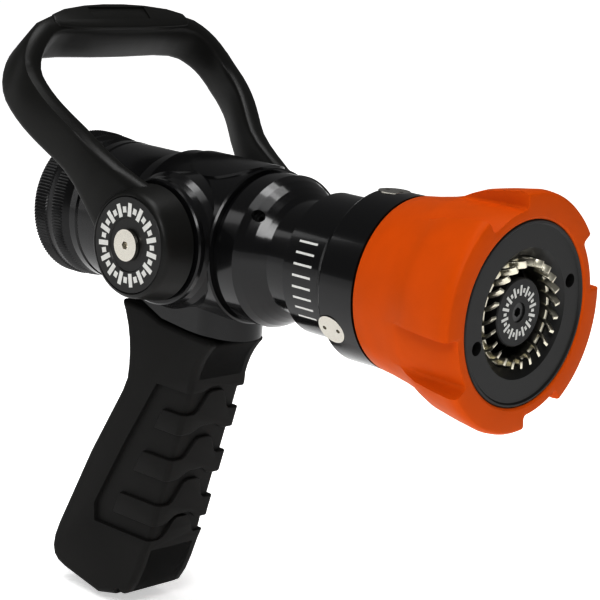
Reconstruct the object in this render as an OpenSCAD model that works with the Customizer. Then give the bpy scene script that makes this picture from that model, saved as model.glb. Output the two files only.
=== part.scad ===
// Pistol-grip fire hose nozzle with a bale-operated ball valve and a twist-to-fog barrel.
// Origin: centre of the hose inlet's mouth. +X is the flow direction, +Z is up, the bale pivots about Y.

/* [Waterway] */
// Distance from the inlet mouth to the ball's centre
valve_x = 88; // [86:1:92]
// Radius of the waterway
bore_r = 18; // [16:0.5:18]
// Radius of the valve ball
ball_r = 25.5; // [25:0.1:25.5]

/* [Coupling] */
// Outer radius of the swivel coupling
coupling_r = 33.3; // [33:0.1:34]
// Radius of the female hose thread
thread_r = 24.55; // [24.5:0.05:24.6]
// Number of race balls that carry the swivel
race_count = 24; // [12:1:30]

/* [Body] */
// Outer radius of the rear tube
tube_r = 31.6; // [31:0.1:32]
// Outer radius of the valve housing
housing_r = 34.3; // [34:0.1:35]
// Half of the width over the hub bosses
boss_y = 38; // [37:0.5:38]

/* [Bale] */
// Lean of the open bale, back from vertical
bale_lean = 48.5; // [40:0.5:55]
// Radius of the bale's hubs
hub_r = 25; // [24:0.5:26]
// Half of the width over the hubs
hub_y = 55; // [54:0.5:56]

/* [Grip] */
// Half of the grip's width
grip_half = 17.5; // [16:0.5:19]
// Height of the grip's foot below the waterway
grip_drop = 178; // [176:1:180]

/* [Barrel] */
// Radius of the tip's sliding neck
neck_r = 25; // [25:0.1:25.1]
// Radius of the barrel's rear band
band_r = 30.2; // [30:0.1:31]
// Radius of the barrel's collar
collar_r = 36.3; // [36:0.1:36.5]
// Twist from straight stream to full fog
twist_deg = 105; // [60:15:105]
// How far the barrel moves back over that twist
advance = 10.5; // [8:0.5:10.5]
// Outer radius of the bumper's rim
rim_r = 48.5; // [47:0.5:50]
// Number of teeth on the spinning ring
tooth_count = 23; // [18:1:24]

/* [Hidden] */
$fn = 96;

eps = 0.01;             // overlap that makes two solids one
fit = 0.06;             // radial clearance of a running fit
gap = 0.3;              // clearance between moving pieces that only pass each other

// Stations along the waterway, measured from the ball's centre
inlet_x = -valve_x;
coupling_front_x = inlet_x + 22;
tail_x = inlet_x + 15;          // rear end of the body's tail
race_x = inlet_x + 18.5;        // middle of the ball race
race_r = 27.3;                  // pitch radius of the race
race_ball_r = 2;
chamber_r = 28.2;               // ball chamber
carrier_r = 24;                 // seat carrier and seats
housing_x = [-22, 27.5];        // valve housing, rear and front edges
tip_x = 31.1;                   // rear edge of the tip's front cylinder
neck_x = 52.4;                  // where the tip has narrowed to its neck
tip_end_x = 138.4;              // front end of the tip
barrel_x = 65.8;                // rear edge of the barrel
collar_x = 91.5;                // rear edge of the collar
bumper_x = 109.9;               // rear edge of the bumper
front_x = 168;                  // front rim of the bumper
barrel_end_x = 158;             // front end of the barrel's shell
seat_x = 14;                    // ball side of each seat's ring
seat_back_x = 23;               // back of each seat
stem_r = 9;
cap_r = 20.5;
boss_r = 27;
bush_r = 22.5;
pin_x = 96.5;                   // cam pins on the collar
pin_angles = [0, 120, 240];     // from +Z towards -Y
cam_depth = 3;
baffle_r = 13.8;
tooth_ring_r = 22.1;
spanner_r = 30;                 // spanner holes in the face ring
spanner_angle = 110.5;          // from +Z towards -Y
spanner_hole_r = 2.8;
flange_r = 23.4;                // flange that keeps the tooth ring in the barrel
blade_r = [18.7, 21.8];
blade_thick = 1.3;
blade_lean = 16;

// Solid of revolution about the waterway from [x, r] points
module turned(points) {
  rotate([0, 90, 0]) rotate_extrude() polygon([for (p = points) [p[1], p[0]]]);
}

// Plain ring about the waterway
module ring(x0, x1, outer, inner) {
  turned([[x0, inner], [x1, inner], [x1, outer], [x0, outer]]);
}

// Round bar along the waterway
module bar(x0, x1, r) {
  translate([x0, 0, 0]) rotate([0, 90, 0]) cylinder(h = x1 - x0, r = r);
}

// O-ring about the waterway
module o_ring(x, r, wire) {
  translate([x, 0, 0]) rotate([0, 90, 0]) rotate_extrude() translate([r, 0]) circle(r = wire, $fn = 32);
}

// Round bar along the pivot axis, on the side given by sign
module cross_bar(side, y0, y1, r) {
  translate([0, side * y0, 0]) rotate([-side * 90, 0, 0]) cylinder(h = y1 - y0, r = r);
}

// Ring about the pivot axis
module cross_ring(side, y0, y1, outer, inner) {
  difference() {
    cross_bar(side, y0, y1, outer);
    cross_bar(side, y0 - 1, y1 + 1, inner);
  }
}

// Solid of revolution about the pivot axis from [y, r] points
module cross_turned(side, points) {
  rotate([-side * 90, 0, 0]) rotate_extrude() polygon([for (p = points) [p[1], p[0]]]);
}

// Puts children at an angle about the waterway, measured from +Z towards -Y
module around(angle) {
  rotate([angle, 0, 0]) children();
}

// Everything is drawn about the ball's centre and moved to the inlet frame here
module at_valve() {
  translate([valve_x, 0, 0]) children();
}

// Cubic curve through p[0] and p[3] with handles p[1] and p[2]
function curve(p, steps) = [
  for (i = [0 : steps - 1])
    let (t = i / steps, s = 1 - t)
    s * s * s * p[0] + 3 * s * s * t * p[1] + 3 * s * t * t * p[2] + t * t * t * p[3]
];

nose_x = 23.5;                  // rounded front of the saddle over the grip
saddle_half = 17;

// ---- Grip outline, [x, z] about the ball's centre ----
heel = [-81, -160];
toe = [-44, -grip_drop];
rib_count = 3;
rib_top = [4.5, -68];
rib_foot = [-13.5, -134];
rib_step = 3;

// One finger rib: the front bulges forward and steps back at its lower end
function rib(i) =
  let (a = rib_top + (rib_foot - rib_top) * i / rib_count, b = rib_top + (rib_foot - rib_top) * (i + 1) / rib_count)
  [a, a + (b - a) * 0.85 + [rib_step * 0.5, 0], b + [0.5, 1]];

grip_back = concat(
  curve([[-44, -35], [-36, -46], [-34.5, -60], [-36, -71]], 8),
  [[-36, -71], [-38.6, -77.5], [-57, -111], [-75, -149], heel, [-79, -168], [-70, -173], toe]
);
grip_front = concat(
  [[-39, -175], [-36, -171], [-30, -170.5], [-20, -157], [-14, -143]],
  [for (i = [rib_count - 1 : -1 : 0]) each [for (k = [2 : -1 : 0]) rib(i)[k]]],
  [[6.4, -65]],
  curve([[6.8, -63], [9, -56], [12, -50], [23, -44.6]], 6),
  [[23, -44.6]]
);
grip_top = [[14, -42.6], [0, -41.9], [-16, -40.1], [-27, -36], [-33, -32.4]];

module grip_outline(inset = 0) {
  offset(delta = -inset) polygon(concat(grip_back, grip_front, grip_top));
}

// Extrudes an XZ outline across the pivot axis, y0 to y1
module slab(y0, y1) {
  translate([0, y1, 0]) rotate([90, 0, 0]) linear_extrude(y1 - y0) children();
}

// Tang of the body that fills the middle of the grip
tang_half = 8;
tang = [[-28, -34], [8, -38], [-3, -70], [-20, -118], [-46, -106], [-28, -66]];
bolt_top = [-22, -100];
bolt_foot = [-55, -171];
bolt_len = norm(bolt_foot - bolt_top);
bolt_tilt = atan2(bolt_top[0] - bolt_foot[0], bolt_top[1] - bolt_foot[1]);
bolt_head_h = 5;
recess_depth = 12;

// Round bar along the grip bolt, distances measured down from the bolt's top end
module bolt_bar(from, to, r) {
  translate([bolt_top[0], 0, bolt_top[1]])
    rotate([0, 180 + bolt_tilt, 0])
    translate([0, 0, from])
    cylinder(h = to - from, r = r);
}

// ---- Root body ----
module valve_body() {
  color([0.08, 0.08, 0.09]) at_valve() difference() {
    union() {
      // Tail inside the coupling, rear collar, tube and valve housing
      turned([
        [tail_x, 0], [tail_x, 26.2], [tail_x + 0.6, 26.8], [coupling_front_x + 1, 26.8],
        [coupling_front_x + 1, 31.2], [coupling_front_x + 1.6, 31.8], [-60.6, 31.8], [-60, 31],
        [-59, tube_r], [-30, tube_r], [-24, 32.2],
        [housing_x[0], 32.4], [housing_x[0], 33.6], [housing_x[0] + 0.7, housing_r],
        [housing_x[1] - 0.8, housing_r], [housing_x[1], housing_r - 0.7], [housing_x[1], 0]
      ]);
      // Hub bosses
      for (side = [-1, 1])
        cross_turned(side, [
          [0, 0], [0, boss_r + 2.5], [30, boss_r + 2.5], [33, boss_r + 0.8], [36, boss_r],
          [boss_y + 0.3, boss_r], [boss_y + 1, boss_r - 0.7], [boss_y + 1, 0]
        ]);
      // Raised pad on the crown
      intersection() {
        bar(housing_x[0], housing_x[1] - 0.5, housing_r + 1);
        translate([7.5, 0, 0]) cylinder(h = 50, r = 20.3);
      }
      // Saddle above the grip
      intersection() {
        slab(-20, 20)
          polygon([[-33, -24], [26, -24], [26, -43.3], [14, -41.7], [0, -41], [-16, -39.2], [-29, -33.6], [-31, -32]]);
        translate([0, 0, -50]) linear_extrude(30) {
          translate([nose_x - saddle_half, 0]) circle(r = saddle_half);
          translate([-45, -saddle_half]) square([45 + nose_x - saddle_half, 2 * saddle_half]);
        }
      }
      // Tang inside the grip
      slab(-tang_half, tang_half) polygon(tang);
    }
    // Waterway, seat chamber and ball chamber
    bar(tail_x - 1, 0, bore_r);
    bar(-41.5, 0, carrier_r + fit);
    bar(-13, housing_x[1] + 10, chamber_r);
    bar(housing_x[1], housing_x[1] + 10, 45);
    // Ball race
    o_ring(race_x, race_r, race_ball_r + fit);
    // Stem bores, with a seat for each thrust bush
    for (side = [-1, 1]) {
      cross_bar(side, boss_y, boss_y + 2, bush_r + 0.2);
      cross_bar(side, 20, boss_y + 1, stem_r + fit);
      translate([0, side * 33, 0]) rotate([90, 0, 0])
        rotate_extrude() translate([stem_r + 0.7, 0]) circle(r = 1.3, $fn = 32);
    }
    // Thread for the grip bolt
    bolt_bar(-1, 30, 3);
  }
}

module rear_seat() {
  color("white") at_valve() difference() {
    ring(-seat_back_x, -seat_x, carrier_r, bore_r - 0.5);
    sphere(r = ball_r + gap);
  }
}

module front_seat() {
  color("white") at_valve() difference() {
    ring(seat_x, seat_back_x, carrier_r, bore_r - 0.5);
    sphere(r = ball_r + gap);
  }
}

module seat_carrier() {
  color("silver") at_valve() difference() {
    ring(-34, -seat_back_x, carrier_r, bore_r - 0.5);
    o_ring(-29, carrier_r - 0.6, 1.2);
  }
}

module seat_spring() {
  // Crest-to-crest wave spring: flat turns joined at alternate crests
  color("gray") at_valve() {
    for (i = [0 : 3]) ring(-41.3 + 2 * i, -40.7 + 2 * i, 23.4, 19.4);
    for (i = [0 : 2], k = [0 : 2])
      around(120 * k + 60 * i)
        translate([-40.75 + 2 * i, -2, 19.6]) cube([1.5, 4, 3.6]);
  }
}

module seat_o_ring() {
  color([0.1, 0.1, 0.1]) at_valve() o_ring(-29, carrier_r - 0.8, 0.85);
}

module stem_o_ring(side) {
  color([0.1, 0.1, 0.1]) at_valve() translate([0, side * 33, 0]) rotate([90, 0, 0])
    rotate_extrude() translate([stem_r + 1.05, 0]) circle(r = 0.9, $fn = 32);
}

module near_stem_o_ring() { stem_o_ring(-1); }

module far_stem_o_ring() { stem_o_ring(1); }

module thrust_bush(side) {
  color("ivory") at_valve() cross_ring(side, boss_y, boss_y + 1.7, bush_r, stem_r + 1);
}

module near_thrust_bush() { thrust_bush(-1); }

module far_thrust_bush() { thrust_bush(1); }

module grip_shell() {
  color([0.13, 0.13, 0.12]) at_valve() difference() {
    union() {
      slab(-grip_half, grip_half) grip_outline(7);
      slab(-grip_half + 3.5, grip_half - 3.5) grip_outline(2.4);
      slab(-grip_half + 7.5, grip_half - 7.5) grip_outline();
    }
    // Pocket for the tang
    slab(-tang_half, tang_half) polygon(concat([[-29, -20], [9, -20]], [for (i = [1 : 5]) tang[i]]));
    // Room for the waterway tube above the beavertail
    bar(-70, 0, tube_r + 0.2);
    // Bolt hole and its recess in the foot
    bolt_bar(10, bolt_len + 5, 3.3);
    bolt_bar(bolt_len - recess_depth, bolt_len + 20, 7);
  }
}

module grip_bolt() {
  color("silver") at_valve() difference() {
    union() {
      bolt_bar(2, bolt_len - recess_depth, 3);
      bolt_bar(bolt_len - recess_depth + 1.6, bolt_len - recess_depth + 1.6 + bolt_head_h, 5);
      bolt_bar(bolt_len - recess_depth - 1, bolt_len - recess_depth + 2, 3);
    }
    bolt_bar(bolt_len - recess_depth + 3.6, bolt_len, 2.2);
  }
}

module grip_washer() {
  color("gainsboro") at_valve() difference() {
    bolt_bar(bolt_len - recess_depth, bolt_len - recess_depth + 1.6, 6.6);
    bolt_bar(bolt_len - recess_depth - 1, bolt_len - recess_depth + 3, 3.1);
  }
}

// Helical cam grooves: each is a row of radial holes that the pin fits through
cam_steps = twist_deg / 7.5;
module cam_groove(start) {
  for (i = [0 : cam_steps])
    around(start - i * 7.5)
      translate([pin_x - advance * i / cam_steps, 0, neck_r - cam_depth])
      cylinder(h = cam_depth + 1, r = 3.3);
}

module tip_base() {
  color([0.08, 0.08, 0.09]) at_valve() difference() {
    turned([
      [seat_x + 3.2, bore_r], [seat_x + 3.2, chamber_r - gap], [housing_x[1] + 0.2, chamber_r - gap],
      [housing_x[1] + 0.2, 31.4], [tip_x - 0.6, 31.4], [tip_x, 33], [40, 33],
      [43.5, 31.4], [47, 29.2], [50, 27], [neck_x, neck_r],
      [tip_end_x, neck_r], [tip_end_x, 17.2], [128, bore_r + 1], [60, bore_r + 1], [56, bore_r]
    ]);
    // Pocket of the front seat
    bar(seat_x, seat_back_x, carrier_r + fit);
    // O-ring groove of the spigot
    o_ring(25, chamber_r - 0.9, 1.2);
    // O-ring groove of the neck
    o_ring(122, neck_r - 0.6, 1.1);
    for (a = pin_angles) cam_groove(a);
    // Set-screw hole
    around(53) translate([45, 0, 20]) cylinder(h = 20, r = 2.6);
  }
}

module tip_base_o_ring() {
  color([0.1, 0.1, 0.1]) at_valve() o_ring(25, chamber_r - 1.1, 0.9);
}

module tip_lock_screw() {
  color([0.2, 0.2, 0.2]) at_valve() around(53) translate([45, 0, 21]) difference() {
    cylinder(h = 7, r = 2.5);
    translate([0, 0, 4]) cylinder(h = 4, r = 1.3, $fn = 6);
  }
}

module flow_spider() {
  color("darkgoldenrod") at_valve() {
    ring(58, 68, 9, 5);
    for (k = [0 : 3]) around(45 + 90 * k) translate([59, -1.5, 8]) cube([8, 3, 10.8]);
  }
}

module baffle_stem() {
  color("silver") at_valve() difference() {
    turned([[56, 0], [56, 4.4], [57, 5], [150, 5], [151, 4.4], [151, 0]]);
    bar(143, 152, 2);
  }
}

module baffle_head() {
  color([0.12, 0.12, 0.12]) at_valve() difference() {
    turned([
      [145, 5], [145, 7.5], [148, 8.5], [153, 11], [158, 13], [162, baffle_r], [163.8, baffle_r],
      [164.3, baffle_r - 0.5], [164.3, 4], [161, 4], [161, 2.5], [151, 2.5], [151, 5]
    ]);
  }
}

module baffle_screw() {
  color("dimgray") at_valve() difference() {
    union() {
      bar(144, 161.2, 1.9);
      bar(161, 163.6, 3.9);
    }
    translate([161.6, 0, 0]) rotate([0, 90, 0]) cylinder(h = 3, r = 2, $fn = 6);
  }
}

// ---- Coupling body ----
module swivel_coupling() {
  color([0.1, 0.1, 0.1]) at_valve() difference() {
    turned([
      [inlet_x, thread_r], [inlet_x, coupling_r - 1.2], [inlet_x + 1.2, coupling_r],
      [inlet_x + 8.6, coupling_r], [inlet_x + 9, coupling_r - 0.6], [inlet_x + 12, coupling_r - 0.6],
      [inlet_x + 12.4, coupling_r - 0.9], [coupling_front_x - 3.5, coupling_r - 1.6],
      [coupling_front_x, coupling_r - 3.4], [coupling_front_x, 27.2],
      [inlet_x + 12, 27.2], [inlet_x + 12, thread_r]
    ]);
    o_ring(race_x, race_r, race_ball_r + fit);
    around(200) translate([race_x, 0, 28]) cylinder(h = 6, r = 2.3);
  }
}

module hose_gasket() {
  color([0.15, 0.15, 0.15]) at_valve() ring(inlet_x + 12, tail_x - gap, 27.1, bore_r + 1.2);
}

module race_plug() {
  color("dimgray") at_valve() around(200) translate([race_x, 0, 29.5]) difference() {
    cylinder(h = 2.3, r = 2.3);
    translate([-0.4, -2, 1.6]) cube([0.8, 4, 1]);
  }
}

module race_balls() {
  color("lightgray") at_valve()
    for (i = [0 : race_count - 1])
      around(360 * i / race_count) translate([race_x, 0, race_r]) sphere(r = race_ball_r, $fn = 32);
}

// ---- Bale body ----
// Half of the bale's outline in its own plane: [across, out from the pivot]
bale_outer = concat(
  [[49.5, -30], [49.5, 8], [52, 26]],
  curve([[54.8, 42], [57.5, 56], [65.6, 68], [66.6, 84]], 8),
  curve([[66.6, 84], [66.6, 99], [57, 109], [41, 116]], 8),
  [[41, 116], [22, 120.8], [10, 122]]
);
bale_inner = concat(
  [[10, 105.4], [30, 105.8]],
  curve([[40, 106], [50, 103], [56.4, 95], [56.4, 82]], 8),
  curve([[56.4, 82], [56, 70], [45, 56], [45, 40]], 8),
  [[45, 40], [43, 20], [43, -30]]
);
// Side profile of the bale: [forward of its plane, out from the pivot]
bale_side = [
  [-hub_r, -30], [hub_r, -30], [hub_r, 1], [20, 12], [12.5, 24], [10, 34], [9.5, 52], [9.5, 80],
  [12.5, 96], [16.5, 104], [17.5, 110], [17.5, 119], [15, 122.2], [0, 122.2], [-4, 119], [-5, 103],
  [-8, 92], [-9.5, 80], [-10.5, 52], [-14, 36], [-22, 13], [-hub_r, 4]
];
// The arms lean inwards towards their front edges
bale_reach = 40;
bale_flare = 1.176;

function mirrored(points) = [for (i = [len(points) - 1 : -1 : 0]) [-points[i][0], points[i][1]]];

// Turns the bale's own plane (across, out, forward) into the body frame
module bale_plane() {
  rotate([0, -bale_lean, 0]) children();
}

module bale_hoop() {
  intersection() {
    rotate([90, 0, 90]) translate([0, 0, -bale_reach])
      linear_extrude(2 * bale_reach, scale = [2 / bale_flare - 1, 1], slices = 1, $fn = 12)
      scale([bale_flare, 1]) polygon(concat(
        bale_outer, mirrored(bale_outer), mirrored(bale_inner), bale_inner
      ));
    slab(-80, 80) polygon(bale_side);
  }
}

module bale_handle() {
  color([0.11, 0.11, 0.1]) at_valve() bale_plane() difference() {
    union() {
      difference() {
        bale_hoop();
        for (side = [-1, 1]) intersection() {
          translate([-40, side * 60 - 30, -40]) cube([80, 60, 40]);
          cross_ring(side, 20, 80, 60, hub_r);
        }
        // Room for the hub bosses
        slab(-40, 40) polygon([[-40, -40], [40, -40], [40, 44], [-40, 44]]);
      }
      for (side = [-1, 1])
        cross_turned(side, [
          [40, 0], [40, hub_r - 0.5], [40.5, hub_r], [hub_y - 3.5, hub_r - 1.9],
          [hub_y - 1.6, hub_r - 2.3], [hub_y - 0.5, hub_r - 3], [hub_y, hub_r - 4], [hub_y, 0]
        ]);
    }
    // Recess for the hub cap and square hole for the stem's end
    for (side = [-1, 1]) {
      cross_bar(side, hub_y - 2.5, hub_y + 1, cap_r + 0.2);
      cross_bar(side, 39, hub_y, stem_r - 1);
    }
  }
}

module hub_cap(side) {
  color([0.16, 0.16, 0.16]) at_valve() cross_ring(side, hub_y - 2.4, hub_y, cap_r, 3.4);
}

module near_hub_cap() { hub_cap(-1); }

module far_hub_cap() { hub_cap(1); }

module pivot_screw(side) {
  color("silver") at_valve() difference() {
    union() {
      cross_bar(side, hub_y, hub_y + 1.6, 6.8);
      cross_bar(side, hub_y - 14, hub_y + 0.5, 3.2);
    }
    translate([0, side * (hub_y - 1), 0]) rotate([-side * 90, 0, 0]) cylinder(h = 5, r = 1.8, $fn = 6);
  }
}

module near_pivot_screw() { pivot_screw(-1); }

module far_pivot_screw() { pivot_screw(1); }

module stem(side) {
  color("silver") at_valve() difference() {
    union() {
      cross_bar(side, 26.5, 40, stem_r);
      cross_bar(side, 40, hub_y - 2.6, stem_r - 1.1);
      // Blade that turns the ball
      translate([-6.5, min(side * 21.5, side * 27), -2.4]) cube([13, 5.5, 4.8]);
    }
    cross_bar(side, hub_y - 15, hub_y, 3.25);
  }
}

module near_stem() { stem(-1); }

module far_stem() { stem(1); }

module valve_ball() {
  color("gainsboro") at_valve() difference() {
    sphere(r = ball_r);
    bar(-30, 30, bore_r - 0.5);
    // Slots for the stems' blades
    for (side = [-1, 1])
      translate([-30, side * 26 - 4.6, -2.5]) cube([60, 9.2, 5]);
  }
}

// ---- Barrel carriage ----
module barrel_wiper() {
  color([0.12, 0.12, 0.12]) at_valve() ring(barrel_x + 1.5, barrel_x + 4.5, 28, neck_r + gap);
}

// ---- Barrel body ----
module pattern_barrel() {
  color([0.09, 0.09, 0.09]) at_valve() difference() {
    turned([
      [barrel_x, neck_r + 0.08], [barrel_x, band_r - 0.8], [barrel_x + 0.8, band_r],
      [85.5, band_r], [89, 33.6], [collar_x, collar_r - 0.5], [collar_x + 0.8, collar_r],
      [bumper_x - 0.5, collar_r], [bumper_x - 0.3, 33], [barrel_end_x, 33],
      [barrel_end_x, flange_r + gap], [152.6, flange_r + gap], [152.6, 19.6],
      [150, 19.6], [149, neck_r + 0.08]
    ]);
    // Groove of the wiper
    ring(barrel_x + 1.2, barrel_x + 4.8, 28.3, neck_r - 1);
    // Holes of the cam pins
    for (a = pin_angles) around(a) translate([pin_x, 0, 20]) {
      cylinder(h = 20, r = 2.9);
      translate([0, 0, 13]) cylinder(h = 8, r = 6.8);
    }
  }
}

module cam_pins() {
  color("silver") at_valve() for (a = pin_angles) around(a) translate([pin_x, 0, 0]) difference() {
    union() {
      translate([0, 0, neck_r - cam_depth + gap]) cylinder(h = 12, r = 2.8);
      translate([0, 0, 33]) cylinder(h = 3.2, r = 6.6);
    }
    for (side = [-1, 1]) translate([side * 3.6, 0, 35]) cylinder(h = 3, r = 0.9);
  }
}

module barrel_o_ring() {
  color([0.1, 0.1, 0.1]) at_valve() o_ring(122, neck_r - 0.8, 0.8);
}

// Bumper: [x, r] outline of its pads, then of its valleys
valley_count = 4;
valley_first = 21;              // from +Y towards +Z
module bumper() {
  color([0.85, 0.3, 0.08]) at_valve() difference() {
    turned([
      [bumper_x, 33.05], [bumper_x, 35.6], [bumper_x + 0.8, 36.5], [118, 37.4], [128, 39.2], [135, 41],
      [140, 43.6], [145, 45.4], [155, 47.2], [164, rim_r], [166.8, rim_r - 0.4], [front_x, rim_r - 2],
      [front_x, 38.6], [167.2, 37.25], [barrel_end_x, 37.25], [barrel_end_x, 33.05]
    ]);
    for (k = [0 : valley_count - 1])
      around(75 + valley_first + 90 * k)
        rotate([0, 90, 0]) rotate_extrude(angle = 30)
        polygon([[40.7, 131], [41.3, 150], [41.9, 170], [58, 170], [58, 131]]);
  }
}

module face_ring() {
  color([0.1, 0.1, 0.1]) at_valve() difference() {
    turned([
      [barrel_end_x, tooth_ring_r + gap], [barrel_end_x, 37.2], [167.4, 37.2], [167.8, 36.8],
      [167.8, 36.1], [167.1, 35.4], [166.9, 26.2], [163.4, 22.8], [163, tooth_ring_r + gap]
    ]);
    for (a = [spanner_angle, spanner_angle + 180])
      around(a) translate([161, 0, spanner_r]) rotate([0, 90, 0]) cylinder(h = 10, r = spanner_hole_r);
  }
}

// ---- Teeth body ----
module teeth_ring() {
  color([0.45, 0.44, 0.38]) at_valve() {
    ring(153.4, barrel_end_x - gap, flange_r, 19.6);
    ring(157.6, 162.7, tooth_ring_r, 19.6);
    for (i = [0 : tooth_count - 1])
      around(360 * i / tooth_count)
        translate([162, 0, 0]) rotate([0, 0, blade_lean])
        translate([-2, -blade_thick / 2, blade_r[0]]) cube([8, blade_thick, blade_r[1] - blade_r[0]]);
  }
}

module teeth_washer() {
  color("ivory") at_valve() ring(152.7, 153.3, flange_r, 20);
}

valve_body();
rear_seat();
front_seat();
seat_carrier();
seat_spring();
seat_o_ring();
near_stem_o_ring();
far_stem_o_ring();
near_thrust_bush();
far_thrust_bush();
grip_shell();
grip_bolt();
grip_washer();
tip_base();
tip_base_o_ring();
tip_lock_screw();
flow_spider();
baffle_stem();
baffle_head();
baffle_screw();
swivel_coupling();
hose_gasket();
race_plug();
race_balls();
bale_handle();
near_hub_cap();
far_hub_cap();
near_pivot_screw();
far_pivot_screw();
near_stem();
far_stem();
valve_ball();
barrel_wiper();
pattern_barrel();
cam_pins();
barrel_o_ring();
bumper();
face_ring();
teeth_ring();
teeth_washer();
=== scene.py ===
"""Looks of the pistol-grip fire hose nozzle, built round its CAD frame."""

import math

import bpy
from bpy.props import FloatProperty, FloatVectorProperty, IntProperty, PointerProperty
from mathutils import Matrix, Vector


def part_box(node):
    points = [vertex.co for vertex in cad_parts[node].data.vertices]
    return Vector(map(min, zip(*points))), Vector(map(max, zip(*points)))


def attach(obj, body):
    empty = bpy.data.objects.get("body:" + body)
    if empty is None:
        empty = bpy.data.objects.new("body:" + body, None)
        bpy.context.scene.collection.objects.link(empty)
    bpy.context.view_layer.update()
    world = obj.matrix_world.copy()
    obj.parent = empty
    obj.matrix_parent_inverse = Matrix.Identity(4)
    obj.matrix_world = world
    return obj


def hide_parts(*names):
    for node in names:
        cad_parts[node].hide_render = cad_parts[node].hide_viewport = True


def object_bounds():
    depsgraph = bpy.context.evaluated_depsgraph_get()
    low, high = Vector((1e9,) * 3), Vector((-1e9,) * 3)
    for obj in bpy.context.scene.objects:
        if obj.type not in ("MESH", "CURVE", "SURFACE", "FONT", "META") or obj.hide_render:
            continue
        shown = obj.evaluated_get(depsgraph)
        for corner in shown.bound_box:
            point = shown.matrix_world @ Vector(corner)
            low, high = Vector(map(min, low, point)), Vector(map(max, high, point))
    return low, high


bl_info = {
    "name": "Fire hose nozzle",
    "version": (1, 0, 0),
    "blender": (4, 5, 0),
    "location": "View3D > Sidebar > Nozzle",
    "description": "Builds the rubber, plastic and metal pieces of a fire hose nozzle and its studio",
    "category": "Object",
}

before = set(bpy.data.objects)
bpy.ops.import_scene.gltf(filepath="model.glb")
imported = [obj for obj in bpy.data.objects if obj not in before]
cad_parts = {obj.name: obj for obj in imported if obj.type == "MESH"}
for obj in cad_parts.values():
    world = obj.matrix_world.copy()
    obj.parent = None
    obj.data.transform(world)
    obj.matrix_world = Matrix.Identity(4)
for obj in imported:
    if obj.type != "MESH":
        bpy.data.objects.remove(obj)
CAD_BOX = [list(corner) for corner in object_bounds()]
MM = 0.001
VALVE_X = sum(corner[0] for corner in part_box("valve_ball")) / 2
VALVE = Vector((VALVE_X, 0, 0))
FULL_TURN = 2 * math.pi


def node_box(name):
    """Two opposite corners of a CAD node, in metres."""
    low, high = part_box(name)
    return Vector(low), Vector(high)


# ---- Shader maths ----


class Value:
    """A number carried by a node socket; arithmetic on it adds Math nodes."""

    def __init__(self, nodes, socket):
        self.nodes = nodes
        self.socket = socket

    def _math(self, operation, *values):
        return self.nodes.add("ShaderNodeMath", {"operation": operation}, dict(enumerate(values)))

    def __add__(self, other):
        return self._math("ADD", self, other)

    def __rsub__(self, other):
        return self._math("SUBTRACT", other, self)

    def __mul__(self, other):
        return self._math("MULTIPLY", self, other)

    def __truediv__(self, other):
        return self._math("DIVIDE", self, other)

    def __gt__(self, other):
        return self._math("GREATER_THAN", self, other)

    def __lt__(self, other):
        return self._math("LESS_THAN", self, other)

    def fraction(self):
        return self._math("FRACT", self)

    def angle_to(self, other):
        return self._math("ARCTAN2", self, other)


class Finish:
    """A material's node tree with a Principled shader; constants are set on its sockets."""

    def __init__(self, name, **constants):
        self.material = bpy.data.materials.new(name)
        self.material.use_nodes = True
        self.tree = self.material.node_tree
        self.shader = self.tree.nodes["Principled BSDF"]
        for socket, value in constants.items():
            self.set(socket.replace("_", " "), value)

    def set(self, socket, value):
        if isinstance(value, Value):
            self.tree.links.new(value.socket, self.shader.inputs[socket])
        elif isinstance(value, (tuple, list)):
            self.shader.inputs[socket].default_value = (*value, 1.0)
        else:
            self.shader.inputs[socket].default_value = value

    def add(self, kind, settings, inputs, output=0):
        node = self.tree.nodes.new(kind)
        for key, value in settings.items():
            setattr(node, key, value)
        for key, value in inputs.items():
            if isinstance(value, Value):
                self.tree.links.new(value.socket, node.inputs[key])
            else:
                node.inputs[key].default_value = value
        return Value(self, node.outputs[output])

    def place(self):
        """Object coordinates in metres, as one vector."""
        return self.add("ShaderNodeTexCoord", {}, {}, "Object")

    def axes(self):
        place = self.place()
        return [self.add("ShaderNodeSeparateXYZ", {}, {0: place}, axis) for axis in "XYZ"]

    def noise(self, scale, detail=3.0, roughness=0.55):
        inputs = {"Vector": self.place(), "Scale": scale, "Detail": detail, "Roughness": roughness}
        return self.add("ShaderNodeTexNoise", {}, inputs)

    def mix(self, factor, first, second):
        """Mixes two colours; each is a tuple or a Value."""
        node = self.tree.nodes.new("ShaderNodeMix")
        node.data_type = "RGBA"
        for key, value in ((0, factor), (6, first), (7, second)):
            if isinstance(value, Value):
                self.tree.links.new(value.socket, node.inputs[key])
            elif isinstance(value, (tuple, list)):
                node.inputs[key].default_value = (*value, 1.0)
            else:
                node.inputs[key].default_value = value
        return Value(self, node.outputs[2])

    def bump(self, height, distance, strength=1.0):
        inputs = {"Height": height, "Distance": distance, "Strength": strength}
        self.set("Normal", self.add("ShaderNodeBump", {}, inputs))


def shade(colour, share):
    """A colour made darker or lighter by a share."""
    return tuple(part * share for part in colour)


def grained(name, colour, roughness, spread=0.06, scale=900.0, bump=0.00002, tint=0.25, **constants):
    """A plain finish whose colour and roughness vary softly, with a fine grain."""
    finish = Finish(name, **constants)
    cloud = finish.noise(60.0)
    fine = finish.noise(scale)
    finish.set("Base Color", finish.mix(cloud, shade(colour, 1 - tint), shade(colour, 1 + tint)))
    finish.set("Roughness", cloud * spread + (roughness - spread / 2))
    if bump:
        finish.bump(fine, bump)
    return finish


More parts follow.
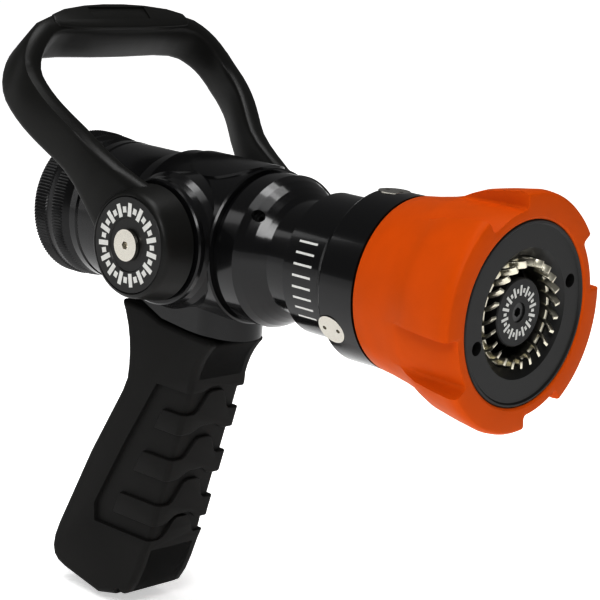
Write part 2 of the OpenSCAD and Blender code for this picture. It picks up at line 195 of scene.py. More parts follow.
def machined(name, colour, roughness, axis="X"):
    """Turned metal: fine rings across the axis that it was turned on."""
    finish = Finish(name, Metallic=1.0)
    along = finish.axes()["XY".index(axis)]
    inputs = {"W": along * 5000.0, "Scale": 1.0, "Detail": 2.0}
    rings = finish.add("ShaderNodeTexNoise", {"noise_dimensions": "1D"}, inputs)
    cloud = finish.noise(80.0)
    finish.set("Base Color", finish.mix(cloud, shade(colour, 0.85), colour))
    finish.set("Roughness", rings * 0.08 + cloud * 0.06 + (roughness - 0.07))
    finish.bump(rings, 0.00001)
    return finish


def glossy(name, low, high, cloud_scale, smoothest, spread, specular=0.4, coat=0.35, coat_roughness=0.06):
    """Black metal under a clear coat, its colour and polish clouded between two values."""
    finish = Finish(name, Specular_IOR_Level=specular, Coat_Weight=coat, Coat_Roughness=coat_roughness)
    cloud = finish.noise(cloud_scale)
    finish.set("Base Color", finish.mix(cloud, low, high))
    finish.set("Roughness", cloud * spread + smoothest)
    return finish


# ---- Modelling ----


def clear():
    if bpy.context.mode != "OBJECT":
        bpy.ops.object.mode_set(mode="OBJECT")
    bpy.ops.object.select_all(action="DESELECT")


def alone(piece):
    """Makes the piece the only selected object."""
    clear()
    bpy.context.view_layer.objects.active = piece
    piece.select_set(True)


def edit(piece):
    alone(piece)
    bpy.ops.object.mode_set(mode="EDIT")
    bpy.ops.mesh.select_mode(type="VERT")
    bpy.ops.mesh.select_all(action="SELECT")


def chain(name, points, closed=False):
    """One vertex extruded through the points, left selected in edit mode."""
    clear()
    bpy.ops.mesh.primitive_plane_add(size=MM)
    piece = bpy.context.object
    piece.name = name
    bpy.ops.object.mode_set(mode="EDIT")
    bpy.ops.mesh.select_mode(type="VERT")
    bpy.ops.mesh.select_all(action="SELECT")
    bpy.ops.mesh.merge(type="CENTER")
    points = [Vector(p) for p in points]
    bpy.ops.transform.translate(value=points[0])
    for here, there in zip(points, points[1:] + points[:1] if closed else points[1:]):
        bpy.ops.mesh.extrude_vertices_move(TRANSFORM_OT_translate={"value": there - here})
    bpy.ops.mesh.select_all(action="SELECT")
    if closed:
        bpy.ops.mesh.remove_doubles(threshold=1e-6)
    return piece


def tidy_mesh():
    bpy.ops.mesh.select_all(action="SELECT")
    bpy.ops.mesh.remove_doubles(threshold=1e-6)
    bpy.ops.mesh.normals_make_consistent(inside=False)


def turned(name, profile, steps=128, closed=True, angle=FULL_TURN, start=0.0):
    """Solid of revolution about the waterway from [x, r] points in millimetres from the valve's centre.

    A part turn runs back from start, which is measured from the top towards the near side.
    """
    points = [(VALVE_X + x * MM, -r * MM * math.sin(start), r * MM * math.cos(start)) for x, r in profile]
    piece = chain(name, points, closed)
    full = angle == FULL_TURN
    bpy.ops.mesh.spin(steps=steps, angle=angle, center=VALVE, axis=(1, 0, 0), use_auto_merge=full)
    if not full:
        bpy.ops.mesh.select_all(action="SELECT")
        bpy.ops.mesh.select_non_manifold()
        bpy.ops.mesh.fill_holes(sides=0)
    tidy_mesh()
    bpy.ops.object.mode_set(mode="OBJECT")
    return piece


def turned_across(name, points, centre, closed=False):
    """Solid of revolution about a line across the waterway."""
    piece = chain(name, points, closed)
    bpy.ops.mesh.spin(steps=96, angle=FULL_TURN, center=centre, axis=(0, 1, 0), use_auto_merge=True)
    tidy_mesh()
    bpy.ops.object.mode_set(mode="OBJECT")
    return piece


def repeated(piece, count, axis, shift=0.0):
    """Turns the piece by a share of the pitch and copies it evenly round an axis through the valve."""
    edit(piece)
    letter = "XY"[axis.index(1)]
    bpy.ops.transform.rotate(value=shift * FULL_TURN / count, orient_axis=letter, center_override=VALVE)
    bpy.ops.mesh.spin(steps=count - 1, dupli=True, angle=FULL_TURN * (1 - 1 / count), center=VALVE, axis=axis)
    bpy.ops.object.mode_set(mode="OBJECT")


def plate(name, points, depth):
    """Flat outline filled and extruded along depth."""
    piece = chain(name, points, closed=True)
    bpy.ops.mesh.edge_face_add()
    bpy.ops.mesh.extrude_region_move(TRANSFORM_OT_translate={"value": Vector(depth)})
    tidy_mesh()
    bpy.ops.object.mode_set(mode="OBJECT")
    return piece


def apply_modifier(piece, kind, **settings):
    alone(piece)
    modifier = piece.modifiers.new(kind.title(), kind)
    for key, value in settings.items():
        setattr(modifier, key, value)
    bpy.ops.object.modifier_apply(modifier=modifier.name)


def rounded(piece, width, segments=3, angle=30):
    apply_modifier(piece, "BEVEL", width=width * MM, segments=segments, limit_method="ANGLE",
                   angle_limit=math.radians(angle))


def cut(piece, tool, operation="DIFFERENCE"):
    apply_modifier(piece, "BOOLEAN", operation=operation, object=tool, solver="EXACT")
    bpy.data.objects.remove(tool)


def joined(name, *pieces):
    clear()
    for piece in pieces:
        piece.select_set(True)
    bpy.context.view_layer.objects.active = pieces[0]
    bpy.ops.object.join()
    pieces[0].name = name
    return pieces[0]


def moved(piece, matrix):
    """Places the piece through its object and applies that to its mesh."""
    alone(piece)
    piece.matrix_world = matrix
    bpy.ops.object.transform_apply(location=True, rotation=True, scale=True)
    return piece


def painted(node, finish):
    """Gives a CAD node that keeps its own shape a material."""
    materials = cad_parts[node].data.materials
    materials.clear()
    materials.append(finish.material)


def finished(piece, finish, body, slot, *nodes, angle=35):
    """Smooths, paints and hands the piece to the frame."""
    alone(piece)
    bpy.ops.object.shade_smooth_by_angle(angle=math.radians(angle))
    piece.data.materials.clear()
    piece.data.materials.append(finish.material)
    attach(piece, body)
    if nodes:
        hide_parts(*nodes)
    return piece


def curve(a, b, c, d, steps):
    """Cubic curve through a and d with handles b and c, without its last point."""
    points = []
    for i in range(steps):
        t = i / steps
        s = 1 - t
        points.append(tuple(
            s**3 * p + 3 * s * s * t * q + 3 * s * t * t * r + t**3 * w for p, q, r, w in zip(a, b, c, d)
        ))
    return points


# ---- Settings ----


def colour(name, description, default):
    return FloatVectorProperty(name=name, description=description, default=default, min=0,
                               max=1, subtype="COLOR")


def length(name, description, default, least, most):
    return FloatProperty(name=name, description=description, default=default, min=least, max=most,
                         unit="LENGTH")


class NozzleColours(bpy.types.PropertyGroup):
    orange: colour("Bumper", "Colour of the rubber bumper", (0.545, 0.1, 0.0035))
    rubber: colour("Grip", "Colour of the grip's rubber", (0.0135, 0.013, 0.0122))
    plastic: colour("Bale", "Colour of the bale's plastic", (0.012, 0.012, 0.011))
    black: colour("Body", "Colour of the black metal", (0.006, 0.006, 0.0065))
    steel: colour("Steel", "Colour of the turned steel", (0.62, 0.60, 0.55))
    marks: colour("Marks", "Colour of the printed marks", (0.6, 0.6, 0.58))


class NozzleSizes(bpy.types.PropertyGroup):
    flutes: IntProperty(name="Flutes", description="Flutes round the coupling", default=140, min=24, max=180)
    flute_depth: length("Flute depth", "Depth of a flute", 0.0006, 0, 0.002)
    blades: IntProperty(name="Blades", description="Teeth on the spinning ring", default=23, min=8, max=40)
    blade_thick: length("Blade thickness", "Thickness of one tooth", 0.0012, 0.0004, 0.003)
    floor_drop: length("Floor gap", "Gap under the grip", 0.002, 0, 0.1)


def colours():
    return bpy.context.scene.nozzle_colours


def sizes():
    return bpy.context.scene.nozzle_sizes


# ---- Pieces ----


class NOZZLE_OT_metal(bpy.types.Operator):
    """Paints the nodes that keep their CAD shape"""

    bl_idname = "nozzle.metal"
    bl_label = "Metal and seals"

    def execute(self, context):
        c = colours()
        black = glossy("anodised_black", shade(c.black, 0.8), shade(c.black, 1.3), 35.0, 0.12, 0.08)
        black.bump(black.noise(500.0), 0.000006)
        cast = glossy("painted_casting", shade(c.black, 0.8), shade(c.black, 1.4), 45.0, 0.17, 0.10,
                      specular=0.35, coat=0.3, coat_roughness=0.12)
        cast.bump(cast.noise(220.0), 0.00005)
        band = self.band(c)
        face = grained("face_black", (0.012, 0.012, 0.0115), 0.40, bump=0.00001)
        steel = machined("turned_steel", tuple(c.steel), 0.24)
        steel_across = machined("pivot_steel", tuple(c.steel), 0.26, "Y")
        brass = machined("spider_brass", (0.62, 0.42, 0.16), 0.32)
        seal = grained("seal_rubber", (0.012, 0.012, 0.012), 0.6)
        seat = grained("seat_polymer", (0.78, 0.77, 0.72), 0.45, tint=0.03)
        dark_steel = machined("dark_steel", (0.12, 0.12, 0.12), 0.35)
        groups = {
            black: ["tip_base"],
            cast: ["valve_body"],
            band: ["pattern_barrel"],
            face: ["face_ring"],
            steel: ["valve_ball", "seat_carrier", "seat_spring", "race_balls", "cam_pins", "baffle_stem",
                    "race_plug"],
            steel_across: ["near_pivot_screw", "far_pivot_screw", "near_stem", "far_stem", "grip_bolt",
                           "grip_washer"],
            dark_steel: ["baffle_screw", "tip_lock_screw"],
            brass: ["flow_spider"],
            seal: ["seat_o_ring", "near_stem_o_ring", "far_stem_o_ring", "tip_base_o_ring", "barrel_o_ring",
                   "hose_gasket", "barrel_wiper"],
            seat: ["rear_seat", "front_seat", "near_thrust_bush", "far_thrust_bush", "teeth_washer"],
        }
        for finish, names in groups.items():
            for name in names:
                painted(name, finish)
        return {"FINISHED"}

    def band(self, c):
        """Gloss black with generic tick marks on the barrel's rear band."""
        finish = Finish("barrel_black", Specular_IOR_Level=0.4, Coat_Weight=0.35, Coat_Roughness=0.06)
        x, y, z = finish.axes()
        pitch = math.radians(9)
        turn = (0 - y).angle_to(z) / pitch
        start = node_box("pattern_barrel")[0].x + 6 * MM
        end = start + 10 * MM
        tick_share = 0.22
        ticks = (turn.fraction() < tick_share) * (x > start) * (x < end)
        first, last = 7.0, 15.0
        mask = ticks * ((turn > first) * (turn < last))
        cloud = finish.noise(35.0)
        finish.set("Base Color", finish.mix(mask, tuple(c.black), tuple(c.marks)))
        finish.set("Roughness", cloud * 0.08 + mask * 0.2 + 0.12)
        return finish


VALLEYS = 4
FIRST_VALLEY = math.radians(22.3)
HALF_VALLEY = math.radians(15)


class NOZZLE_OT_bumper(bpy.types.Operator):
    """Builds the orange bumper with its four valleys"""

    bl_idname = "nozzle.bumper"
    bl_label = "Bumper"

    def execute(self, context):
        low, high = node_box("bumper")
        rear = (low.x - VALVE_X) / MM
        front = (high.x - VALVE_X) / MM
        rim = high.z / MM
        profile = [
            (rear, 33.05), (rear, 35.4), (rear + 0.4, 36.1), (rear + 1.2, 36.5), (118, 37.4), (128, 39.2),
            (135, 41.0), (140, 43.4), (145, 45.3), (150, 46.3), (155, 47.2), (160, 47.9), (164, rim),
            (166.4, rim - 0.3), (167.6, rim - 1.1), (front, rim - 2.2), (front, 38.4), (167.4, 37.4),
            (166.6, 37.3), (158, 37.3), (158, 33.05),
        ]
        bumper = turned("bumper_rubber", profile, 144)
        valley = [(128, 40.6), (136, 40.9), (150, 41.4), (172, 41.9), (172, 60), (128, 60)]
        for k in range(VALLEYS):
            middle = FIRST_VALLEY + FULL_TURN * k / VALLEYS
            tool = turned("groove", valley, 12, angle=2 * HALF_VALLEY, start=middle + HALF_VALLEY)
            rounded(tool, 2.2, 3)
            cut(bumper, tool)
        rounded(bumper, 0.7, 2, 28)
        rubber = grained("orange_rubber", tuple(colours().orange), 0.42, spread=0.1, scale=700.0,
                         bump=0.00003, tint=0.08, Specular_IOR_Level=0.08)
        finished(bumper, rubber, "barrel", "bumper_orange", "bumper", angle=32)
        return {"FINISHED"}


class NOZZLE_OT_coupling(bpy.types.Operator):
    """Builds the fluted swivel coupling"""

    bl_idname = "nozzle.coupling"
    bl_label = "Swivel coupling"

    def execute(self, context):
        low, high = node_box("swivel_coupling")
        r = high.z / MM
        inlet = (low.x - VALVE_X) / MM
        front = (high.x - VALVE_X) / MM
        thread_r, thread_depth, pitch = 24.6, 1.0, 1.1
        thread = []
        for i in range(10):
            crest = inlet + 0.4 + pitch * i
            thread += [(crest, thread_r), (crest + pitch / 2, thread_r + thread_depth)]
        profile = [
            (inlet, 25.4), (inlet, r - 1.2), (inlet + 1.2, r), (inlet + 8.4, r), (inlet + 9, r - 0.9),
            (inlet + 12, r - 0.9), (inlet + 12.6, r - 0.5), (front - 4.0, r - 1.1), (front - 3.2, r - 1.8),
            (front, r - 3.4), (front, 27.2), (inlet + 12, 27.2), (inlet + 12, 25.2),
        ] + thread[::-1]
        steps = sizes().flutes * 2
        piece = turned("coupling_ring", profile, steps)
        self.flute(piece, inlet + 1.0, inlet + 8.5, r - 0.2, steps)
        self.flute(piece, inlet + 12.5, front - 3.9, r - 1.2, steps)
        metal = tuple(colours().black)
        black = glossy("coupling_black", metal, shade(metal, 1.6), 60.0, 0.26, 0.12, specular=0.35,
                       coat=0.2, coat_roughness=0.15)
        finished(piece, black, "coupling", "body_black_anodised", "swivel_coupling", angle=25)
        return {"FINISHED"}

    def flute(self, piece, x0, x1, r, steps):
        """Draws every other line of vertices in a band towards the axis."""
        edit(piece)
        bpy.ops.mesh.select_all(action="DESELECT")
        bpy.ops.object.mode_set(mode="OBJECT")
        pitch = FULL_TURN / steps
        for vertex in piece.data.vertices:
            x = (vertex.co.x - VALVE_X) / MM
            out = math.hypot(vertex.co.y, vertex.co.z)
            turn = round(math.atan2(-vertex.co.y, vertex.co.z) / pitch)
            vertex.select = x0 <= x <= x1 and out > r * MM and turn % 2 == 0
        bpy.ops.object.mode_set(mode="EDIT")
        scale = 1 - sizes().flute_depth / (r * MM)
        bpy.ops.transform.resize(value=(1, scale, scale), center_override=VALVE)
        bpy.ops.object.mode_set(mode="OBJECT")


class NOZZLE_OT_teeth(bpy.types.Operator):
    """Builds the spinning ring of curved blades"""

    bl_idname = "nozzle.teeth"
    bl_label = "Spinning teeth"

    def execute(self, context):
        s = sizes()
        base = turned("tooth_ring", [
            (153.4, 19.6), (153.4, 23.4), (157.7, 23.4), (157.7, 22.1), (162.3, 22.1), (162.8, 21.6),
            (162.8, 19.6),
        ], 96)
        rounded(base, 0.15, 2)
        swing = [(160.0, -1.9), (162.0, -1.5), (164.0, -0.7), (166.0, 0.6), (167.7, 2.3)]
        half = s.blade_thick / MM / 2
        side = [(x, y + half) for x, y in swing] + [(x + 0.3, y - half) for x, y in reversed(swing)]
        root, tip = 18.7, 21.8
        points = [(VALVE_X + x * MM, y * MM, root * MM) for x, y in side]
        blade = plate("blade", points, (0, 0, (tip - root) * MM))
        rounded(blade, 0.22, 2)
        edit(blade)
        bpy.ops.mesh.spin(steps=s.blades, dupli=True, angle=FULL_TURN, center=VALVE, axis=(1, 0, 0))
        bpy.ops.object.mode_set(mode="OBJECT")
        ring = joined("tooth_ring", base, blade)
        steel = Finish("tooth_steel", Metallic=1.0)
        cloud = steel.noise(140.0)
        # Painted reflection and highlight: the dark olive base stands in for the olive-brown reflection on
        # the polished teeth, and pointy edges are lifted to a painted highlight.
        edge = steel.add("ShaderNodeNewGeometry", {}, {}, "Pointiness")
        highlight_edge = 0.52
        painted_highlight = (edge > highlight_edge) * 0.8
        steel.set("Base Color", steel.mix(painted_highlight, (0.20, 0.19, 0.14), (0.80, 0.77, 0.66)))
        steel.set("Roughness", cloud * 0.15 + 0.25)
        finished(ring, steel, "spinner", "teeth_steel", "teeth_ring")
        return {"FINISHED"}


class NOZZLE_OT_grip(bpy.types.Operator):
    """Builds the rubber pistol grip with its ribs and side pads"""

    bl_idname = "nozzle.grip"
    bl_label = "Pistol grip"

    def execute(self, context):
        low, high = node_box("grip_shell")
        half = high.y / MM
        outer = self.body("grip_rubber", 1.2, half, 12.5)
        inner = self.body("grip_core", -0.6, half - 1.9, 11.5)
        parts = [inner]
        tops = [(-69.2, -79.6), (-92.2, -101.8), (-113.6, -125.0)]
        feet = [(-86.5, -89.6), (-109.0, -112.6), (-131.4, -135.4)]
        rears = [(-10.9, -15.8), (-21.8, -27.5), (-35.1, -38.9)]
        for top, foot, rear in zip(tops, feet, rears):
            block = self.body("rib", 1.2, half - 0.1, 12.5)
            cut(block, self.chevron("rib_edge", top, foot), "INTERSECT")
            behind = [(rear[0], top[1] + 0.4), (rear[0], -40), (60, -40), (60, -160), (rear[1], -160),
                      (rear[1], foot[1])]
            cut(block, self.prism("rib_rear", behind, half + 5), "INTERSECT")
            rounded(block, 0.9, 3, 50)
            parts.append(block)
        recess = self.chevron("recess", (-67.0, -69.0), (-132.9, -143.0))
        behind = [(-15.8, -69.2), (-15.8, -40), (60, -40), (60, -160), (-45, -160), (-50.8, -142.6),
                  (-51.6, -134.5), (-34.6, -102.1)]
        cut(recess, self.prism("recess_rear", behind, half + 5), "INTERSECT")
        cut(outer, recess)
        rounded(outer, 0.7, 2, 50)
        slot = [(-38.5, -190), (-34.2, -171.6), (-31.5, -170.6), (-27.5, -173.6), (-27, -190)]
        for piece in [outer] + parts:
            cut(piece, self.prism("slot", slot, half + 5))
        for piece in (outer, inner):
            cut(piece, turned("tube", [(-80, 0), (-80, 31.9), (-10, 31.9), (-10, 0)], 64, closed=False))
        grip = joined("grip_rubber", outer, *parts)
        rubber = grained("grip_rubber", tuple(colours().rubber), 0.62, spread=0.12, scale=1400.0,
                         bump=0.00005, tint=0.15, Specular_IOR_Level=0.25)
        finished(grip, rubber, "root", "grip_rubber", "grip_shell", angle=40)
        return {"FINISHED"}

    def body(self, name, proud, half, radius):
        """The grip without its ribs, its front line moved out by proud."""
        back = curve((-43, -35.6), (-36, -46), (-34.5, -60), (-36, -71), 6)
        back += [(-36, -71), (-38.6, -77.5), (-57, -111), (-76, -151)]
        foot = curve((-76, -151), (-82, -164), (-80, -170), (-70, -172), 5)
        foot += [(-70, -172), (-46, -177), (-30, -173.4)]
        low = curve((-26, -171), (-21, -165), (-17, -152), (-13.4, -139), 4)
        front = [(-13.4, -139), (-12.2, -133), (-6.4, -111), (-0.4, -88.6), (5.0, -67.5)]
        front = [(x + proud, z) for x, z in front]
        nose = curve((6.4, -63), (8, -56), (11, -50), (16.5, -44.8), 5)
        top = [(16.5, -44.8), (13, -43.2), (0, -42.4), (-16, -40.6), (-27, -36.8)]
        points = [(VALVE_X + x * MM, -half * MM, z * MM) for x, z in back + foot + low + front + nose + top]
        piece = plate(name, points, (0, 2 * half * MM, 0))
        rounded(piece, radius, 8, 50)
        return piece

    def chevron(self, name, top, foot):
        """Prism along the waterway whose edges drop from the grip's front middle to its flanks."""
        drop = ((3.0, 0), (5.0, 0.12), (7.0, 0.5), (9.0, 0.88), (11.0, 1.0), (25.0, 1.0))

        def edge(level):
            high, low = level
            return [(y, high + (low - high) * share) for y, share in drop]

        right = edge(foot) + edge(top)[::-1]
        points = edge(top) + edge(foot)[::-1] + [(-y, z) for y, z in right]
        outline = [(VALVE_X - 80 * MM, y * MM, z * MM) for y, z in points]
        return plate(name, outline, (120 * MM, 0, 0))

    def prism(self, name, outline, half):
        points = [(VALVE_X + x * MM, -half * MM, z * MM) for x, z in outline]
        return plate(name, points, (0, 2 * half * MM, 0))


ARM_WIDE = 18.8
ARM_THICK = 10.0


class NOZZLE_OT_bale(bpy.types.Operator):
    """Builds the bale handle, its hubs and the printed caps"""

    bl_idname = "nozzle.bale"
    bl_label = "Bale handle"

    lean = math.radians(48.5)

    def execute(self, context):
        plastic = grained("bale_plastic", tuple(colours().plastic), 0.40, spread=0.1, scale=500.0,
                          bump=0.00003, tint=0.15, Specular_IOR_Level=0.3)
        hoop = self.hoop()
        rounded(hoop, 0.5, 2, 40)
        bale = joined("bale_moulding", hoop, self.panel(), self.hub(-1), self.hub(1))
        moved(bale, Matrix.Translation((VALVE_X, 0, 0)) @ Matrix.Rotation(-self.lean, 4, "Y"))
        finished(bale, plastic, "bale", "bale_plastic", "bale_handle", angle=38)
        for name, side in (("near", -1), ("far", 1)):
            self.cap(name, side)
        return {"FINISHED"}

    def hoop(self):
        """Section swept along the hoop in the bale's own plane: Y across, Z out, X forward."""
        half = [(45.0, 4), (45.0, 12), (46.6, 22), (48.6, 32), (50.0, 41), (51.6, 48.5)]
        half += curve((54, 55.5), (58, 65), (61.2, 72), (61.4, 82), 6)
        half += curve((61.4, 82), (61.6, 95), (56, 102), (46.5, 108), 8)
        half += [(46.5, 108), (40, 110.2), (30, 111.4), (20, 112.1), (10, 112.6)]
        path = [(-y, z) for y, z in half] + [(0, 112.7)] + half[::-1]
        centres = [Vector((self.forward(z), y * MM, z * MM)) for y, z in path]
        wide = [self.width(z) for y, z in path]
        thick = [self.depth(y, z) for y, z in path]
        clear()
        bpy.ops.mesh.primitive_plane_add(size=1)
        piece = bpy.context.object
        piece.name = "bale_moulding"
        bpy.ops.object.mode_set(mode="EDIT")
        bpy.ops.mesh.select_all(action="SELECT")
        bpy.ops.transform.resize(value=(ARM_WIDE * MM, thick[0] * MM, 1))
        bpy.ops.mesh.bevel(affect="VERTICES", offset=3.0 * MM, segments=2)
        bpy.ops.transform.resize(value=(wide[0] / ARM_WIDE, 1, 1))
        bpy.ops.transform.translate(value=centres[0])
        heading = 0.0
        for i in range(1, len(centres)):
            step = centres[i] - centres[i - 1]
            bpy.ops.mesh.extrude_region_move(TRANSFORM_OT_translate={"value": step})
            ahead = centres[min(i + 1, len(centres) - 1)] - centres[i - 1]
            turn = math.atan2(ahead.y, ahead.z)
            bpy.ops.transform.rotate(value=turn - heading, orient_axis="X", center_override=centres[i])
            heading = turn
            grow = thick[i] / thick[i - 1]
            bpy.ops.transform.resize(value=(wide[i] / wide[i - 1], grow, grow), center_override=centres[i])
        tidy_mesh()
        bpy.ops.object.mode_set(mode="OBJECT")
        lattice = self.taper(piece)
        apply_modifier(piece, "LATTICE", object=lattice)
        bpy.data.objects.remove(lattice)
        return piece

    def forward(self, z):
        """How far the hoop's middle stands forward of its plane at a height."""
        t = min(max((z - 86) / 26, 0), 1)
        return (6.0 * t * t * (3 - 2 * t)) * MM

    def width(self, z):
        """The arm's width, which grows into the top bar and down into the hub."""
        t = min(max((z - 90) / 20, 0), 1)
        low = min(max((50 - z) / 46, 0), 1)
        return ARM_WIDE + 2.8 * t + 27.0 * low**1.6

    def depth(self, y, z):
        """The arm's thickness, and the top bar's, which is crowned in the middle."""
        t = min(max((44 - abs(y)) / 40, 0), 1)
        foot = min(max((40 - z) / 20, 0), 1)
        return ARM_THICK - foot + (6.2 * t * t * (3 - 2 * t) if z > 100 else 0)

    def taper(self, piece):
        """A cage that draws the hoop's front edge in and lets its rear edge out."""
        clear()
        bpy.ops.object.add(type="LATTICE", location=(0, 0, 0.07))
        lattice = bpy.context.object
        lattice.scale = (0.08, 0.16, 0.2)
        lattice.data.points_u = lattice.data.points_v = lattice.data.points_w = 2
        for point in lattice.data.points:
            point.co_deform.y *= 1 - 0.0044 * point.co_deform.x * 80
        bpy.context.view_layer.update()
        return lattice

    def hub(self, side):
        """Tapered disc with a seat for its cap; side is -1 near and 1 far."""
        profile = [(0, 40), (24.2, 40), (25, 40.6), (23.2, 51.4), (22.8, 53.2), (22.0, 54.5), (21.0, 55),
                   (20.7, 54.7), (20.7, 52.5), (0, 52.5)]
        return turned_across("hub", [(r * MM, side * y * MM, 0) for r, y in profile], (0, 0, 0))

    def panel(self):
        """Flat thumb panel on the front of the top bar, with its shallow window."""
        right = [(12, 105.9), (30, 106.3), (39, 107.2), (41, 110), (39.6, 114.2), (31, 117.3), (18, 119.4),
                 (6, 120.2)]
        outline = [(-y, z) for y, z in right] + right[::-1]
        piece = plate("panel", [(6 * MM, y * MM, z * MM) for y, z in outline], (11.3 * MM, 0, 0))
        rounded(piece, 1.0, 3, 30)
        window = [(-17, 111.0), (17, 111.0), (17, 118.0), (-17, 118.0)]
        cut(piece, plate("window", [(16.5 * MM, y * MM, z * MM) for y, z in window], (5 * MM, 0, 0)))
        return piece

    def cap(self, name, side):
        """Printed disc over the hub: a stepped disc and a ring of plain marks."""
        node = name + "_hub_cap"
        low, high = node_box(node)
        inner = side * min(abs(low.y), abs(high.y))
        outer = side * max(abs(low.y), abs(high.y))
        bevel = side * 0.3 * MM
        step = side * 0.5 * MM
        profile = [(3.4, inner), (20.5, inner), (20.5, outer - bevel), (20.2, outer), (11.6, outer),
                   (11.2, outer - step), (3.4, outer - step)]
        points = [(VALVE_X + r * MM, y, 0) for r, y in profile]
        piece = turned_across(name + "_cap_disc", points, VALVE, closed=True)
        disc = grained(name + "_cap_black", (0.0125, 0.0125, 0.012), 0.42, bump=0.00001)
        finished(piece, disc, "bale", "cap_black", node)
        centre = Vector((VALVE_X, outer, 0))
        marks = ring_of_marks(name + "_cap_marks", centre, (0, 1, 0), side * 0.12, 15.0, 2.2, (5.8, 2.61), 15)
        paint = grained(name + "_paint", tuple(colours().marks), 0.5, tint=0.05, bump=0)
        finished(marks, paint, "bale", "cap_black")


def ring_of_marks(name, centre, axis, lift, radius, wide, talls, count):
    """Bars on a flat face, in as many interleaved sets as there are heights; sizes in millimetres."""
    axis = Vector(axis)
    across = Vector((axis.y, axis.x, 0)) * MM
    up = Vector((0, 0, MM))
    parts = []
    for row, tall in enumerate(talls):
        corners = ((-1, -1), (1, -1), (1, 1), (-1, 1))
        points = [centre + across * wide / 2 * sx + up * (radius + tall / 2 * sz) for sx, sz in corners]
        bar = plate("mark", points, axis * lift * MM)
        repeated(bar, count, tuple(axis), row / len(talls))
        parts.append(bar)
    return joined(name, *parts)


class NOZZLE_OT_baffle(bpy.types.Operator):
    """Builds the baffle's printed face"""

    bl_idname = "nozzle.baffle"
    bl_label = "Baffle face"

    def execute(self, context):
        dark = grained("baffle_black", (0.014, 0.014, 0.014), 0.42, bump=0.00001)
        painted("baffle_head", dark)
        front = Vector((node_box("baffle_head")[1].x, 0, 0))
        piece = ring_of_marks("baffle_marks", front, (1, 0, 0), 0.1, 8.8, 1.2, (4.2, 1.8), 14)
        paint = grained("baffle_paint", tuple(colours().marks), 0.5, tint=0.05, bump=0)
        finished(piece, paint, "root", "cap_black")
        return {"FINISHED"}


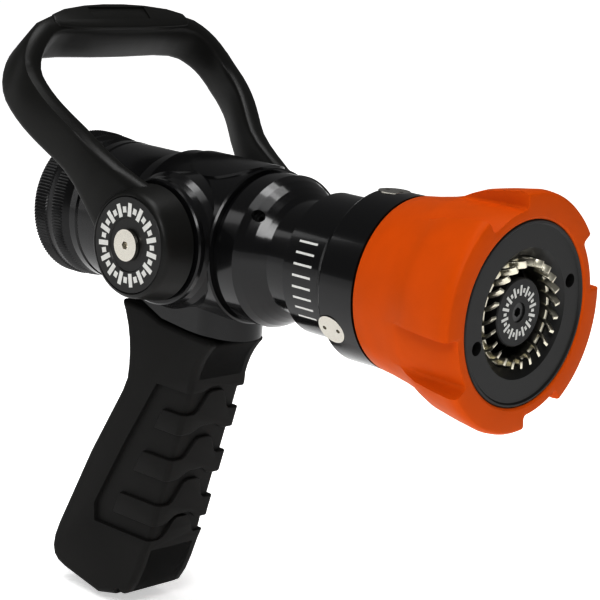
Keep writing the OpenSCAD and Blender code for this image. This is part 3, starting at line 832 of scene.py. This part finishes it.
class NOZZLE_OT_studio(bpy.types.Operator):
    """Adds the floor, the lights and the camera"""

    bl_idname = "nozzle.studio"
    bl_label = "Studio"

    def execute(self, context):
        clear()
        ground = CAD_BOX[0][2] - sizes().floor_drop
        bpy.ops.mesh.primitive_plane_add(size=40.0, location=(0, 0, ground))
        floor = bpy.context.object
        floor.name = "floor"
        pale = Finish("pale_floor", Base_Color=(0.9, 0.9, 0.9), Roughness=0.9,
                      Emission_Color=(1.0, 1.0, 1.0), Emission_Strength=0.6)
        floor.data.materials.append(pale.material)
        world = bpy.data.worlds.new("studio")
        world.use_nodes = True
        self.seen_white(world.node_tree)
        context.scene.world = world
        self.light("key", (0.75, -0.75, 0.75), power=7.0, wide=0.35, tall=0.6)
        self.light("left", (-0.75, -0.65, 0.35), power=1.1, wide=0.2, tall=0.8)
        self.light("top", (0.05, 0.1, 1.1), power=4.5, wide=0.5, tall=0.5)
        self.sky()
        self.camera(context)
        context.scene.view_settings.view_transform = "Standard"
        context.scene.view_settings.gamma = 0.72
        return {"FINISHED"}

    def seen_white(self, tree):
        """The backdrop is seen white and lights the object softly."""
        plain = tree.nodes["Background"]
        plain.inputs[0].default_value = (1, 1, 1, 1)
        dim = tree.nodes.new("ShaderNodeBackground")
        dim.inputs[0].default_value = (1, 1, 1, 1)
        dim.inputs[1].default_value = 0.22
        plain.inputs[1].default_value = 1.0
        path = tree.nodes.new("ShaderNodeLightPath")
        blend = tree.nodes.new("ShaderNodeMixShader")
        tree.links.new(path.outputs["Is Camera Ray"], blend.inputs[0])
        tree.links.new(dim.outputs[0], blend.inputs[1])
        tree.links.new(plain.outputs[0], blend.inputs[2])
        tree.links.new(blend.outputs[0], tree.nodes["World Output"].inputs[0])

    def light(self, name, place, power, wide, tall):
        lamp = bpy.data.lights.new(name, "AREA")
        lamp.shape = "RECTANGLE"
        lamp.size = wide
        lamp.size_y = tall
        lamp.energy = power
        holder = bpy.data.objects.new(name, lamp)
        holder.location = place
        holder.rotation_euler = (VALVE - Vector(place)).to_track_quat("-Z", "Y").to_euler()
        bpy.context.collection.objects.link(holder)

    def sky(self):
        """A wide sun that whitens the far floor and the object's upper side."""
        lamp = bpy.data.lights.new("sky", "SUN")
        lamp.energy = 1.0
        lamp.angle = math.radians(40)
        holder = bpy.data.objects.new("sky", lamp)
        holder.rotation_euler = (math.radians(12), 0, 0)
        bpy.context.collection.objects.link(holder)

    def camera(self, context):
        """A long lens in front of the near side, a little above the waterway."""
        right = Vector((0.72810, 0.68062, 0.08137))
        up = Vector((-0.20383, 0.10163, 0.97372))
        back = Vector((0.65446, -0.72555, 0.21272))
        lens = bpy.data.cameras.new("camera")
        lens.sensor_width = 36.0
        lens.lens = 124.02
        holder = bpy.data.objects.new("camera", lens)
        turn = Matrix((right, up, back)).transposed().to_4x4()
        holder.matrix_world = Matrix.Translation((VALVE_X + 0.625195, -0.637530, 0.167990)) @ turn
        bpy.context.collection.objects.link(holder)
        context.scene.camera = holder


class NOZZLE_PT_panel(bpy.types.Panel):
    bl_label = "Fire hose nozzle"
    bl_idname = "NOZZLE_PT_panel"
    bl_space_type = "VIEW_3D"
    bl_region_type = "UI"
    bl_category = "Nozzle"

    def draw(self, context):
        for group in (context.scene.nozzle_colours, context.scene.nozzle_sizes):
            for name in group.__annotations__:
                self.layout.prop(group, name)
        for operator in STEPS:
            self.layout.operator(operator.bl_idname)


STEPS = (
    NOZZLE_OT_metal, NOZZLE_OT_bumper, NOZZLE_OT_coupling, NOZZLE_OT_teeth, NOZZLE_OT_grip, NOZZLE_OT_bale,
    NOZZLE_OT_baffle, NOZZLE_OT_studio,
)
CLASSES = (NozzleColours, NozzleSizes, *STEPS, NOZZLE_PT_panel)


def register():
    for item in CLASSES:
        bpy.utils.register_class(item)
    bpy.types.Scene.nozzle_colours = PointerProperty(type=NozzleColours)
    bpy.types.Scene.nozzle_sizes = PointerProperty(type=NozzleSizes)


def unregister():
    del bpy.types.Scene.nozzle_sizes
    del bpy.types.Scene.nozzle_colours
    for item in reversed(CLASSES):
        bpy.utils.unregister_class(item)


def main():
    register()
    bpy.ops.nozzle.metal()
    bpy.ops.nozzle.bumper()
    bpy.ops.nozzle.coupling()
    bpy.ops.nozzle.teeth()
    bpy.ops.nozzle.grip()
    bpy.ops.nozzle.bale()
    bpy.ops.nozzle.baffle()
    bpy.ops.nozzle.studio()
    clear()


if __name__ == "__main__":
    main()
